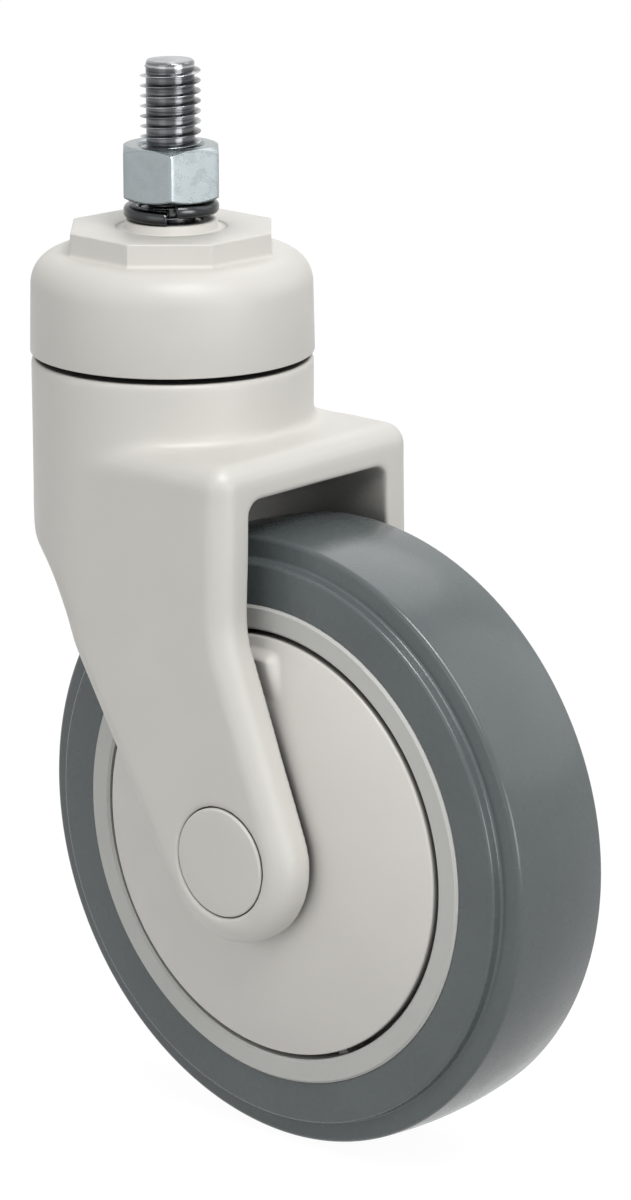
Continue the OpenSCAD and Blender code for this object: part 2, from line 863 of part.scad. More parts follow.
// Swivel bearings, each placed by the height of its upper face
for (b = [["upper", collar_bottom], ["lower", lower_top]]) {
    color(bearing_steel) at_swivel(b[1]) inner_ring(swivel_bore, swivel_od, swivel_w, swivel_ball_d);
    color(bearing_steel) at_swivel(b[1]) outer_ring(swivel_bore, swivel_od, swivel_w, swivel_ball_d);
    color(bearing_steel) at_swivel(b[1]) ball_set(swivel_bore, swivel_od, swivel_ball_d, swivel_balls);
    color(cage_brown) at_swivel(b[1]) cage(swivel_bore, swivel_od, swivel_ball_d, swivel_balls);
    color(seal_black) at_swivel(b[1]) seal(swivel_bore, swivel_od, swivel_w, swivel_ball_d);
    color(seal_black) at_swivel(b[1], -1) seal(swivel_bore, swivel_od, swivel_w, swivel_ball_d);
}

axle_bolt();
axle_nut();
axle_sleeve();
wheel_bearing_spacer();
wheel_rim();
tyre();

// Pieces on both sides of the wheel: left is towards +Y, right towards -Y
for (s = [["left", 1], ["right", -1]]) {
    axle_bush(s[1]);
    axle_cap(s[1]);
    thread_guard(s[1]);
    color(bearing_steel) at_wheel_bearing(s[1]) inner_ring(wheel_bore, wheel_od, wheel_bearing_w, wheel_ball_d);
    color(bearing_steel) at_wheel_bearing(s[1]) outer_ring(wheel_bore, wheel_od, wheel_bearing_w, wheel_ball_d);
    color(bearing_steel) at_wheel_bearing(s[1]) ball_set(wheel_bore, wheel_od, wheel_ball_d, wheel_balls);
    color(cage_brown) at_wheel_bearing(s[1]) cage(wheel_bore, wheel_od, wheel_ball_d, wheel_balls);
    color(seal_black) at_wheel_bearing(s[1]) seal(wheel_bore, wheel_od, wheel_bearing_w, wheel_ball_d);
    color(seal_black) at_wheel_bearing(s[1], -1) seal(wheel_bore, wheel_od, wheel_bearing_w, wheel_ball_d);
}
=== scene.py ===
"""Looks of the swivel stem castor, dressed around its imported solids."""

import json
import math

import bmesh
import bpy
import numpy as np
import openvdb
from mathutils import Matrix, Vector


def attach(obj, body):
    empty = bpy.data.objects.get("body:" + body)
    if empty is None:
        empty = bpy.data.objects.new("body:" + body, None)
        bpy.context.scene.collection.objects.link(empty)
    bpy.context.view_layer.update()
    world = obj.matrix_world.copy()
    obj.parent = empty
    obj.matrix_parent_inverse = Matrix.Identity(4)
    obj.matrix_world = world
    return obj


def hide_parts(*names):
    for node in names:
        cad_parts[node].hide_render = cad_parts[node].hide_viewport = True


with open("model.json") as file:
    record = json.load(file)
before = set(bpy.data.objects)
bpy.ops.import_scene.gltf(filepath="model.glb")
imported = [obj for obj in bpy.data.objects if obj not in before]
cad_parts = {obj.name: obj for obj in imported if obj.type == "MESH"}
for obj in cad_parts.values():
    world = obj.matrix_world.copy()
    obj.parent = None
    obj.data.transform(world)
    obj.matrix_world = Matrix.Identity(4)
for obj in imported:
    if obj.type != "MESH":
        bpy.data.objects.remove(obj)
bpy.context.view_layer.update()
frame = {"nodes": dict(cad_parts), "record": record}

MM = 0.001

# Main sizes in millimetres, as in the part's source but for the thread and a slimmer nut
THREAD_R, THREAD_DEPTH, STEM_RISE, PITCH = 6.0, 1.2, 33.0, 2.0
END_LENGTH = 1.2
NUT_AF, NUT_BOTTOM, NUT_TOP = 18.75, 5.62, 16.42
WASHER_LOW, WASHER_H = 1.42, 4.2
FRONT_TURN = math.radians(-46)
CAP_R, CAP_BOTTOM, CROWN_Z, CAP_SHOULDER_R = 28.4, -24.8, -4.7, 6.6
OCTAGON_AF, OCTAGON_TURN = 39.5, math.radians(-2.5)
TRAIL, AXLE_Z = 39.5, -116.5
WHEEL_R, FLOOR_Z = 62.5, -179.0


# Camera, floor and light: angles in degrees, places and distances in millimetres
CAMERA = {"azimuth": 41.84, "elevation": 15.92, "distance": 825.4, "target": (38.26, 0, -69.8)}
SENSOR_WIDTH, LENS, CLIP_START = 36, 125.92, 0.05
LAMP_TARGET = (20, 0, -70)
FLOOR_SIZE = 4.0
WARM_WHITE = (1, 0.99, 0.975)


def look_from(azimuth, elevation, distance, target):
    a, e = math.radians(azimuth), math.radians(elevation)
    back = Vector((math.sin(a) * math.cos(e), -math.cos(a) * math.cos(e), math.sin(e)))
    return Vector(target) * MM + back * distance * MM, (-back).to_track_quat("-Z", "Y")


def make_camera():
    data = bpy.data.cameras.new("camera")
    data.sensor_width = SENSOR_WIDTH
    data.lens = LENS
    data.clip_start = CLIP_START
    camera = bpy.data.objects.new("camera", data)
    camera.rotation_mode = "QUATERNION"
    camera.location, camera.rotation_quaternion = look_from(**CAMERA)
    bpy.context.collection.objects.link(camera)
    bpy.context.scene.camera = camera


def seen_or_mirrored(nodes, links):
    """1 for camera, glossy and transmission rays, otherwise 0."""
    path = nodes.new("ShaderNodeLightPath")
    total = path.outputs["Is Camera Ray"]
    for ray in ("Is Glossy Ray", "Is Transmission Ray"):
        add = nodes.new("ShaderNodeMath")
        add.operation = "MAXIMUM"
        links.new(total, add.inputs[0])
        links.new(path.outputs[ray], add.inputs[1])
        total = add.outputs[0]
    return total


def make_world(strength):
    world = bpy.data.worlds.new("studio")
    bpy.context.scene.world = world
    world.use_nodes = True
    nodes, links = world.node_tree.nodes, world.node_tree.links
    nodes.clear()
    out = nodes.new("ShaderNodeOutputWorld")
    light = nodes.new("ShaderNodeBackground")
    light.inputs["Color"].default_value = (*WARM_WHITE, 1)
    light.inputs["Strength"].default_value = strength
    white = nodes.new("ShaderNodeBackground")
    white.inputs["Color"].default_value = (1, 1, 1, 1)
    white.inputs["Strength"].default_value = 1.0
    mix = nodes.new("ShaderNodeMixShader")
    links.new(seen_or_mirrored(nodes, links), mix.inputs[0])
    links.new(light.outputs[0], mix.inputs[1])
    links.new(white.outputs[0], mix.inputs[2])
    links.new(mix.outputs[0], out.inputs[0])


def make_floor(paper_tone, glow, glow_share):
    """Pale floor that looks white but keeps the object's shadow."""
    bpy.ops.mesh.primitive_plane_add(size=FLOOR_SIZE, location=(0, 0, FLOOR_Z * MM))
    floor = bpy.context.object
    floor.name = "floor"
    material = bpy.data.materials.new("floor")
    material.use_nodes = True
    nodes, links = material.node_tree.nodes, material.node_tree.links
    nodes.clear()
    out = nodes.new("ShaderNodeOutputMaterial")
    paper = nodes.new("ShaderNodeBsdfDiffuse")
    paper.inputs["Color"].default_value = (paper_tone, paper_tone, paper_tone, 1)
    white = nodes.new("ShaderNodeEmission")
    white.inputs["Strength"].default_value = glow
    share = nodes.new("ShaderNodeMath")
    share.operation = "MULTIPLY"
    share.inputs[1].default_value = glow_share
    mix = nodes.new("ShaderNodeMixShader")
    links.new(seen_or_mirrored(nodes, links), share.inputs[0])
    links.new(share.outputs[0], mix.inputs[0])
    links.new(paper.outputs[0], mix.inputs[1])
    links.new(white.outputs[0], mix.inputs[2])
    links.new(mix.outputs[0], out.inputs[0])
    floor.data.materials.append(material)


def make_lamp(name, azimuth, elevation, distance, size, watts, colour=(1, 1, 1),
              only_mirrored=False):
    """A round soft lamp, sized in metres; one that is only mirrored just adds highlights."""
    data = bpy.data.lights.new(name, "AREA")
    data.shape = "DISK"
    data.size = size
    data.energy = watts
    data.color = colour
    lamp = bpy.data.objects.new(name, data)
    lamp.visible_diffuse = not only_mirrored
    lamp.rotation_mode = "QUATERNION"
    lamp.location, lamp.rotation_quaternion = look_from(azimuth, elevation, distance, LAMP_TARGET)
    bpy.context.collection.objects.link(lamp)


# Materials: the depth of their grain is in metres
GRAIN_DEPTH = 0.0002


def new_material(name, colour, roughness, metallic=0.0):
    material = bpy.data.materials.new(name)
    material.use_nodes = True
    shader = material.node_tree.nodes["Principled BSDF"]
    shader.inputs["Base Color"].default_value = (*colour, 1)
    shader.inputs["Roughness"].default_value = roughness
    shader.inputs["Metallic"].default_value = metallic
    return material, shader, material.node_tree.nodes, material.node_tree.links


def noise(nodes, links, scale, detail):
    coords = nodes.new("ShaderNodeTexCoord")
    tex = nodes.new("ShaderNodeTexNoise")
    tex.inputs["Scale"].default_value = scale
    tex.inputs["Detail"].default_value = detail
    links.new(coords.outputs["Object"], tex.inputs["Vector"])
    return tex.outputs["Fac"]


def ramp(nodes, links, value, low, high, start=0.3, end=0.7):
    """A colour or grey ramp from low to high over the value's range."""
    node = nodes.new("ShaderNodeValToRGB")
    for element, place, c in zip(node.color_ramp.elements, (start, end), (low, high)):
        element.position = place
        element.color = (c, c, c, 1) if isinstance(c, float) else (*c, 1)
    links.new(value, node.inputs[0])
    return node.outputs["Color"]


def bump(nodes, links, shader, height, strength, distance):
    node = nodes.new("ShaderNodeBump")
    node.inputs["Strength"].default_value = strength
    node.inputs["Distance"].default_value = distance
    links.new(height, node.inputs["Height"])
    links.new(node.outputs[0], shader.inputs["Normal"])


def shade(colour, factor):
    return tuple(min(1.0, c * factor) for c in colour)


def multiplied(nodes, links, a, b):
    """The product of two colours."""
    mix = nodes.new("ShaderNodeMix")
    mix.data_type = "RGBA"
    mix.blend_type = "MULTIPLY"
    mix.inputs[0].default_value = 1.0
    links.new(a, mix.inputs["A"])
    links.new(b, mix.inputs["B"])
    return mix.outputs["Result"]


def moulded_plastic(name, colour, roughness, shade_depth=None):
    """Satin moulding: faint clouds, an uneven sheen and fine grain.

    With a depth in millimetres, shade is painted into the base colour of cavities about that deep.
    """
    material, shader, nodes, links = new_material(name, colour, roughness)
    cloud = noise(nodes, links, scale=38, detail=4)
    tone = ramp(nodes, links, cloud, shade(colour, 0.975), shade(colour, 1.02))
    if shade_depth:
        # Painted shade: ambient occlusion darkens the base colour in hollows and next to other
        # parts
        cavity = nodes.new("ShaderNodeAmbientOcclusion")
        cavity.samples = 12
        cavity.inputs["Distance"].default_value = shade_depth * MM
        painted_shade = ramp(nodes, links, cavity.outputs["AO"], 0.12, 1.0, start=0.2, end=0.52)
        tone = multiplied(nodes, links, tone, painted_shade)
    links.new(tone, shader.inputs["Base Color"])
    sheen = noise(nodes, links, scale=140, detail=3)
    gloss = ramp(nodes, links, sheen, roughness - 0.05, roughness + 0.06)
    links.new(gloss, shader.inputs["Roughness"])
    shader.inputs["IOR"].default_value = 1.48
    bump(nodes, links, shader, noise(nodes, links, scale=2600, detail=2), 0.05, GRAIN_DEPTH)
    return material


def rubber(name, colour):
    """Smooth rubber with a thin gloss, so that edges catch the light."""
    material, shader, nodes, links = new_material(name, colour, 0.27)
    shader.inputs["Specular IOR Level"].default_value = 0.22
    shader.inputs["Coat Weight"].default_value = 0.3
    shader.inputs["Coat Roughness"].default_value = 0.19
    cloud = noise(nodes, links, scale=55, detail=5)
    tone = ramp(nodes, links, cloud, shade(colour, 0.95), shade(colour, 1.05))
    links.new(tone, shader.inputs["Base Color"])
    sheen = noise(nodes, links, scale=210, detail=4)
    links.new(ramp(nodes, links, sheen, 0.23, 0.31), shader.inputs["Roughness"])
    shader.inputs["IOR"].default_value = 1.5
    bump(nodes, links, shader, noise(nodes, links, scale=1700, detail=3), 0.012, GRAIN_DEPTH)
    return material


def plated(name, colour, roughness):
    """Zinc plating with faint clouds and fine grain."""
    material, shader, nodes, links = new_material(name, colour, roughness, 1.0)
    cloud = noise(nodes, links, scale=260, detail=5)
    tone = ramp(nodes, links, cloud, shade(colour, 0.97), shade(colour, 1.03))
    links.new(tone, shader.inputs["Base Color"])
    sheen = noise(nodes, links, scale=420, detail=4)
    gloss = ramp(nodes, links, sheen, roughness - 0.05, roughness + 0.08)
    links.new(gloss, shader.inputs["Roughness"])
    bump(nodes, links, shader, noise(nodes, links, scale=2400, detail=3), 0.03, GRAIN_DEPTH)
    return material


def plated_thread(name, crest, root, roughness):
    """Zinc plating with painted shade that darkens it towards the thread's root, but not at the
    stem's end.
    """
    material = plated(name, crest, roughness)
    nodes, links = material.node_tree.nodes, material.node_tree.links
    coords = nodes.new("ShaderNodeTexCoord")
    flat = nodes.new("ShaderNodeVectorMath")
    flat.operation = "MULTIPLY"
    flat.inputs[1].default_value = (1, 1, 0)
    radius = nodes.new("ShaderNodeVectorMath")
    radius.operation = "LENGTH"
    # Painted shade: the colour falls from the crest colour to the darker root colour deeper in the
    # thread
    shade_depth = nodes.new("ShaderNodeMapRange")
    shade_depth.inputs["From Min"].default_value = (THREAD_R - THREAD_DEPTH + 0.05) * MM
    shade_depth.inputs["From Max"].default_value = (THREAD_R - 0.1) * MM
    links.new(coords.outputs["Object"], flat.inputs[0])
    links.new(flat.outputs[0], radius.inputs[0])
    links.new(radius.outputs["Value"], shade_depth.inputs["Value"])
    height = nodes.new("ShaderNodeSeparateXYZ")
    links.new(coords.outputs["Object"], height.inputs[0])
    end = nodes.new("ShaderNodeMath")
    end.operation = "GREATER_THAN"
    end.inputs[1].default_value = (STEM_RISE - END_LENGTH) * MM
    links.new(height.outputs["Z"], end.inputs[0])
    unshaded = nodes.new("ShaderNodeMath")
    unshaded.operation = "MAXIMUM"
    links.new(shade_depth.outputs[0], unshaded.inputs[0])
    links.new(end.outputs[0], unshaded.inputs[1])
    colour = ramp(nodes, links, unshaded.outputs[0], root, crest, 0.0, 1.0)
    # Streaks left by rolling run round the stem
    stretch = nodes.new("ShaderNodeMapping")
    stretch.inputs["Scale"].default_value = (60, 60, 1500)
    streaks = nodes.new("ShaderNodeTexNoise")
    streaks.inputs["Scale"].default_value = 1.0
    streaks.inputs["Detail"].default_value = 3.0
    links.new(coords.outputs["Object"], stretch.inputs["Vector"])
    links.new(stretch.outputs[0], streaks.inputs["Vector"])
    streaks = ramp(nodes, links, streaks.outputs["Fac"], 0.35, 1.0, start=0.38, end=0.6)
    rolled = multiplied(nodes, links, colour, streaks)
    links.new(rolled, nodes["Principled BSDF"].inputs["Base Color"])
    return material


MATERIALS = {
    # The moulding and the guard carry painted shade in their hollows, as deep as given by depth
    "moulding": moulded_plastic("moulding", (0.70, 0.69, 0.655), 0.46, shade_depth=24),
    "guard": moulded_plastic("guard", (0.75, 0.735, 0.70), 0.44, shade_depth=4.5),
    "rim": moulded_plastic("rim", (0.575, 0.58, 0.56), 0.42),
    "tyre": rubber("tyre", (0.116, 0.135, 0.138)),
    "zinc": plated("zinc", (0.30, 0.335, 0.347), 0.26),
    # The thread's second colour is the painted shade at its root
    "thread": plated_thread("thread", (0.50, 0.51, 0.52), (0.13, 0.134, 0.14), 0.22),
    "washer": plated("washer", (0.055, 0.056, 0.058), 0.17),
    "bearing_steel": plated("bearing_steel", (0.5, 0.51, 0.52), 0.22),
    "seal": rubber("seal", (0.02, 0.02, 0.022)),
    "cage": moulded_plastic("cage", (0.35, 0.24, 0.12), 0.5),
}


def dress_nodes():
    slots = {row["node"]: row["material_slot"] for row in frame["record"]["subparts"]}
    for name, node in frame["nodes"].items():
        node.data.materials.clear()
        node.data.materials.append(MATERIALS[slots[name]])


# Meshes
def unit(v):
    return v / np.linalg.norm(v)


def rounded_outline(corners, step=math.radians(5)):
    """Closed outline with each corner, given as (point, radius), rounded."""
    points = [np.array(p, float) for p, _ in corners]
    out = []
    for i, (_, r) in enumerate(corners):
        v = points[i]
        a, b = unit(points[i - 1] - v), unit(points[(i + 1) % len(points)] - v)
        half = math.acos(np.clip(a @ b, -1, 1)) / 2
        if r == 0 or half > math.pi / 2 - 0.01:
            out.append(v)
            continue
        centre = v + unit(a + b) * r / math.sin(half)
        first = v + a * r / math.tan(half) - centre
        last = v + b * r / math.tan(half) - centre
        start = math.atan2(first[1], first[0])
        sweep = (math.atan2(last[1], last[0]) - start + math.pi) % (2 * math.pi) - math.pi
        n = max(2, math.ceil(abs(sweep) / step))
        for k in range(n + 1):
            t = start + sweep * k / n
            out.append(centre + r * np.array([math.cos(t), math.sin(t)]))
    return np.array(out)


def add_piece(name, points, faces, body, slot, nodes, sharp=math.radians(40), look=None):
    """A mesh piece, given in millimetres, that rides on a body and stands for CAD nodes."""
    mesh = bpy.data.meshes.new(name)
    mesh.from_pydata((np.asarray(points) * MM).tolist(), [], [list(map(int, f)) for f in faces])
    bm = bmesh.new()
    bm.from_mesh(mesh)
    bmesh.ops.remove_doubles(bm, verts=bm.verts, dist=2e-6)
    bmesh.ops.dissolve_degenerate(bm, edges=bm.edges, dist=1e-6)
    bmesh.ops.recalc_face_normals(bm, faces=bm.faces)
    bm.to_mesh(mesh)
    bm.free()
    mesh.shade_smooth()
    mesh.set_sharp_from_angle(angle=sharp)
    piece = bpy.data.objects.new(name, mesh)
    bpy.context.collection.objects.link(piece)
    mesh.materials.append(MATERIALS[look or slot])
    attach(piece, body)
    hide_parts(*nodes)
    return piece


def bevel(piece, width, segments=3, angle=math.radians(28)):
    mod = piece.modifiers.new("edges", "BEVEL")
    mod.width = width * MM
    mod.segments = segments
    mod.limit_method = "ANGLE"
    mod.angle_limit = angle


def ring_faces(segments, n):
    """Quads between closed columns of n points each, set in a ring."""
    faces = []
    for i in range(segments):
        j = (i + 1) % segments
        faces += [(i * n + k, j * n + k, j * n + (k + 1) % n, i * n + (k + 1) % n)
                  for k in range(n)]
    return faces


def turned(profile, segments, place):
    """Points and faces of a closed profile of (radius, height), turned about an axis."""
    n = len(profile)
    angles = np.linspace(0, 2 * math.pi, segments, endpoint=False)
    points = np.array([place(r * math.cos(t), r * math.sin(t), h)
                       for t in angles for r, h in profile])
    return points, ring_faces(segments, n)


def about_axle(side):
    """Place of a point whose height is measured from the wheel's middle towards a side."""
    return lambda u, v, h: (TRAIL + u, side * h, AXLE_Z + v)


def upright(u, v, h):
    return u, v, h


# Solids as distance fields, negative inside
def meet(a, b, r):
    """Intersection with a rounded edge."""
    return np.minimum(np.maximum(a, b), -r) + np.hypot(np.maximum(a + r, 0), np.maximum(b + r, 0))


def cut(a, b, r):
    """The first without the second, with a rounded edge."""
    return meet(a, -b, r)


def outline_distance(outline, x, z):
    best, inside = np.full(x.shape, 1e9), np.zeros(x.shape, bool)
    for (ax, az), (bx, bz) in zip(outline, np.roll(outline, -1, 0)):
        ex, ez, px, pz = bx - ax, bz - az, x - ax, z - az
        t = np.clip((px * ex + pz * ez) / (ex * ex + ez * ez), 0, 1)
        best = np.minimum(best, (px - t * ex) ** 2 + (pz - t * ez) ** 2)
        if bz != az:
            inside ^= ((az > z) != (bz > z)) & (px < pz / ez * ex)
    return np.where(inside, -1, 1) * np.sqrt(best)


def blurred(d, sigma):
    """The field smoothed over sigma voxels, which softens edges and hollows."""
    n = math.ceil(2.5 * sigma)
    weights = np.exp(-0.5 * (np.arange(-n, n + 1) / sigma) ** 2)
    weights /= weights.sum()
    for axis in range(3):
        size = d.shape[axis]
        wide = np.pad(d, [(n, n) if a == axis else (0, 0) for a in range(3)], mode="edge")
        d = sum(w * wide.take(range(i, i + size), axis) for i, w in enumerate(weights))
    return d


def grid(lo, hi, voxel):
    axes = [np.arange(a, b + voxel, voxel) for a, b in zip(lo, hi)]
    return np.meshgrid(*axes, indexing="ij")


def skin(d, lo, voxel):
    """Points and faces of the field's zero surface."""
    field = openvdb.FloatGrid(10.0)
    field.copyFromArray(np.ascontiguousarray(d, np.float32))
    points, quads = field.convertToQuads(0.0)
    return np.array(lo) + np.asarray(points) * voxel, np.asarray(quads)


def smooth_step(v, a, b):
    t = np.clip((v - a) / (b - a), 0, 1)
    return t * t * (3 - 2 * t)


# Stem, nut and washer
def make_stem():
    around, root_r = 96, THREAD_R - THREAD_DEPTH
    # One turn of the thread, as shares of the pitch and radii: a thin crest and a wide flat root
    profile = [(0.0, THREAD_R), (0.05, THREAD_R), (0.16, root_r + 0.12), (0.19, root_r),
               (0.5, root_r), (0.84, root_r), (0.87, root_r + 0.12), (0.97, THREAD_R - 0.12)]
    top, bottom, end_r = STEM_RISE, -3.0, root_r - 0.35
    lead_in, run_out, phase = 1.1, 2.2, 0.3

    def limit(z):
        thread_end = root_r + max(0.0, top - lead_in - z) * run_out
        return min(thread_end, end_r + (top - z), end_r + (z - bottom))

    turns = range(math.floor(bottom / PITCH) - 2, math.ceil(top / PITCH) + 2)
    m = len(profile)
    rows = len(turns) * m
    points = []
    for i in range(around):
        t = 2 * math.pi * i / around
        for turn in turns:
            for place, r in profile:
                z = min(max((turn + place + i / around + phase) * PITCH, bottom), top)
                r_here = max(end_r, min(r, limit(z)))
                points.append((r_here * math.cos(t), r_here * math.sin(t), z))
    faces = []
    for i in range(around):
        for j in range(rows - 1):
            k = (i + 1) * rows + j if i < around - 1 else j + m
            if k + 1 < (i + 2) * rows and (i < around - 1 or j + m + 1 < rows):
                faces.append((i * rows + j, k, k + 1, i * rows + j + 1))
    faces.append([i * rows + rows - 1 for i in range(around)])
    faces.append([i * rows for i in range(around)])
    base = len(points)
    # The plain part below, with the circlip's groove, and a core that reaches into the thread
    foot_z, groove_low, groove_high, collar_mid, core_top = -48.9, -47.1, -46.0, -8.5, -2.9
    centre_r, core_r, groove_r, journal_r, chamfer = 0.01, 5.3, 8.0, 8.5, 0.8
    journal = [(centre_r, foot_z), (journal_r - chamfer, foot_z), (journal_r, foot_z + chamfer),
               (journal_r, groove_low), (groove_r, groove_low), (groove_r, groove_high),
               (journal_r, groove_high), (journal_r, collar_mid), (core_r, collar_mid),
               (core_r, core_top), (centre_r, core_top)]
    more, more_faces = turned(journal, 64, upright)
    points = np.vstack([points, more])
    faces += [tuple(base + k for k in f) for f in more_faces]
    base = len(points)
    collar_r, collar_z = 24 / math.sqrt(3), (-11, -6)
    corners = [OCTAGON_TURN + math.radians(60 * k) for k in range(6)]
    collar = [(collar_r * math.cos(t), collar_r * math.sin(t), z)
              for z in collar_z for t in corners]
    points = np.vstack([points, collar])
    faces += [[base + k for k in range(5, -1, -1)], [base + 6 + k for k in range(6)]]
    faces += [(base + k, base + (k + 1) % 6, base + 6 + (k + 1) % 6, base + 6 + k)
              for k in range(6)]
    add_piece("stem_with_thread", points, faces, "stem", "zinc", ["threaded_stem"],
              math.radians(35), "thread")


def flat_ring(sides, across, turn, corner_r, step):
    """Points along a regular polygon with slightly rounded corners."""
    corner = across / 2 / math.cos(math.pi / sides)
    corners = [(corner * np.array([math.cos(a), math.sin(a)]), corner_r)
               for a in turn + 2 * math.pi / sides * np.arange(sides)]
    outline = rounded_outline(corners, math.radians(12))
    ring = []
    for p, q in zip(outline, np.roll(outline, -1, 0)):
        n = max(1, round(np.linalg.norm(q - p) / step))
        ring += [p + (q - p) * k / n for k in range(n)]
    return ring


def lofted(ring, column):
    """Points and faces of a closed column of (radius, height) that follows the ring's radius."""
    points, n = [], 0
    for p in ring:
        r = np.linalg.norm(p)
        rows = column(r)
        points += [(*(p / r * s), z) for s, z in rows]
        n = len(rows)
    return points, ring_faces(len(ring), n)


def make_nut():
    low, high = NUT_BOTTOM, NUT_TOP
    bore, sink_r, flat_r = THREAD_R + 0.05, THREAD_R + 0.75, NUT_AF / 2 * 0.955
    slope, sink = math.tan(math.radians(28)), 0.7

    def column(r):
        drop, half = (r - flat_r) * slope, (flat_r + r) / 2
        return [(bore, low + sink), (sink_r, low), (flat_r, low), (half, low + drop / 2),
                (r, low + drop), (r, (low + high) / 2), (r, high - drop), (half, high - drop / 2),
                (flat_r, high), (sink_r, high), (bore, high - sink)]

    points, faces = lofted(flat_ring(6, NUT_AF, FRONT_TURN, 0.35, 0.7), column)
    nut = add_piece("nut", points, faces, "stem", "zinc", ["stem_nut"], math.radians(30))
    bevel(nut, 0.22, 2, math.radians(20))


def make_washer():
    inner, wire_w, wire_h, split = THREAD_R + 0.3, 3.2, 2.7, 1.6
    low, climb = WASHER_LOW, WASHER_H - wire_h
    rings = 144
    outer, inner_edge, outer_edge = inner + wire_w, 0.9, 1.15
    section = rounded_outline([((inner, 0), inner_edge), ((outer, 0), outer_edge),
                               ((outer, wire_h), outer_edge), ((inner, wire_h), inner_edge)],
                              math.radians(15))
    middle = np.array([inner + wire_w / 2, wire_h / 2])
    gap = math.asin(split / (2 * inner + wire_w))
    points = []
    # The wire's ends, as shares of its length and of its thickness
    ends = [(0.0, 0.86), (0.0012, 0.95), (0.0035, 1.0)]
    shares = np.linspace(ends[-1][0], 1 - ends[-1][0], rings)[1:-1]
    stations = ends + [(s, 1.0) for s in shares] + [(1 - s, k) for s, k in ends[::-1]]
    for share, size in stations:
        a = FRONT_TURN - gap - (2 * math.pi - 2 * gap) * share
        for r, h in middle + (section - middle) * size:
            points.append((r * math.cos(a), r * math.sin(a), low + climb * share + h))
    n = len(section)
    faces = [(i * n + k, i * n + (k + 1) % n, (i + 1) * n + (k + 1) % n, (i + 1) * n + k)
             for i in range(len(stations) - 1) for k in range(n)]
    faces += [list(range(n)), [(len(stations) - 1) * n + k for k in range(n)]]
    add_piece("spring_washer_wire", points, faces, "stem", "washer", ["spring_washer"],
              math.radians(55))


# Cap
def make_cap():
    edge, foot = 0.35, 0.9
    flat_r, arc_z = CAP_R - 0.3 - CAP_SHOULDER_R, CROWN_Z - CAP_SHOULDER_R
    seat_r, recess_r, recess_z = 9.2, 11.05, -0.3
    bore_r, collar_r, collar_z, skirt_r, ceiling_z = 6.4, 16.6, -10.6, 25.4, -7.8
    inside = [(bore_r, collar_z), (bore_r, WASHER_LOW - 0.25), (bore_r + 0.25, WASHER_LOW),
              (seat_r - 0.25, WASHER_LOW), (seat_r, WASHER_LOW - 0.25), (seat_r, recess_z + 0.15),
              (seat_r + 0.15, recess_z), (recess_r - 0.15, recess_z), (recess_r, recess_z + 0.15),
              (recess_r + 0.05, -0.12), (recess_r + 0.2, 0)]
    skirt = [(CAP_R, CAP_BOTTOM + 0.25), (CAP_R - 0.07, CAP_BOTTOM + 0.07),
             (CAP_R - 0.25, CAP_BOTTOM), (skirt_r + 0.2, CAP_BOTTOM), (skirt_r, CAP_BOTTOM + 0.2),
             (skirt_r, -11), (22.6, ceiling_z), (collar_r, ceiling_z), (collar_r, collar_z)]
    bend = np.radians(np.linspace(0, 90, 5))

    def column(r):
        rim = [(r - edge + edge * math.sin(t), edge * math.cos(t) - edge) for t in bend]
        hollow = [(r + foot - foot * math.cos(t), CROWN_Z + foot - foot * math.sin(t))
                  for t in bend]
        start = math.asin(min(1.0, max(0.0, (r + foot - flat_r) / CAP_SHOULDER_R)))
        shoulder = [(flat_r + CAP_SHOULDER_R * math.sin(t), arc_z + CAP_SHOULDER_R * math.cos(t))
                    for t in np.linspace(start, math.pi / 2, 16)]
        return inside + rim + hollow + shoulder + skirt

    ring = flat_ring(8, OCTAGON_AF, OCTAGON_TURN + math.pi / 8, 0.4, 0.8)
    points, faces = lofted(ring, column)
    add_piece("cap_moulding", points, faces, "stem", "moulding", ["swivel_cap"], math.radians(50))


# Fork
FORK_SPLAY, SPLAY_Z = 1.5, -46
LEG_EDGE, ARCH_R = 4.8, 70.5
# Radius, bottom and top of the bores for the swivel bearings and the spacer between them
SWIVEL_BORES = ((17.52, -21, 0), (15, -38, -19), (17.52, -70, -36))
AXLE_BORE_R, COVER_BORE_R, COVER_BORE_Y, BOSS_R = 4.1, 11.06, 23, 11
HALF_FORK, HALF_GAP = 28.1, 20.0
HUB_R, HUB_TOP, HUB_LOW = 28.2, -26.0, -66.2
NECK_R, NECK_TOP, NECK_LOW = 21.7, -11.3, -30
# How far hollows and faces are smoothed, in voxels
SHOULDER_BLUR, HEEL_BLUR, FACE_BLUR = 1.6, 3.6, 0.6


def touch(c, r, q, side):
    """Point at which the line from q touches a circle."""
    v = np.array(q) - c
    a = math.atan2(v[1], v[0]) + side * math.acos(r / np.linalg.norm(v))
    return c + r * np.array([math.cos(a), math.sin(a)])


def crossing(p, q, s, t):
    cross = lambda a, b: a[0] * b[1] - a[1] * b[0]
    return p + (q - p) * cross(s - p, t - s) / cross(q - p, t - s)


def leg_outline():
    axle, boss_r = np.array([TRAIL, AXLE_Z]), 17.0
    top, low, tail, front = -38.5, -65.7, 2 - HUB_R, 39.4
    bend, heel = np.array([front, -72.0]), np.array([-12.3, low])
    front_touch, back_touch = touch(axle, boss_r, bend, -1), touch(axle, boss_r, heel, 1)
    tip = crossing(bend, front_touch, heel, back_touch)
    return rounded_outline([((tail, top), 4.5), ((front, top), 4.5), (bend, 22), (tip, boss_r),
                            (heel, 14), ((tail, low), 5)])


def leg_splay(z):
    """How far a leg leans outwards at a height."""
    return FORK_SPLAY * np.clip((SPLAY_Z - z) / (SPLAY_Z - AXLE_Z), 0, 1.3)


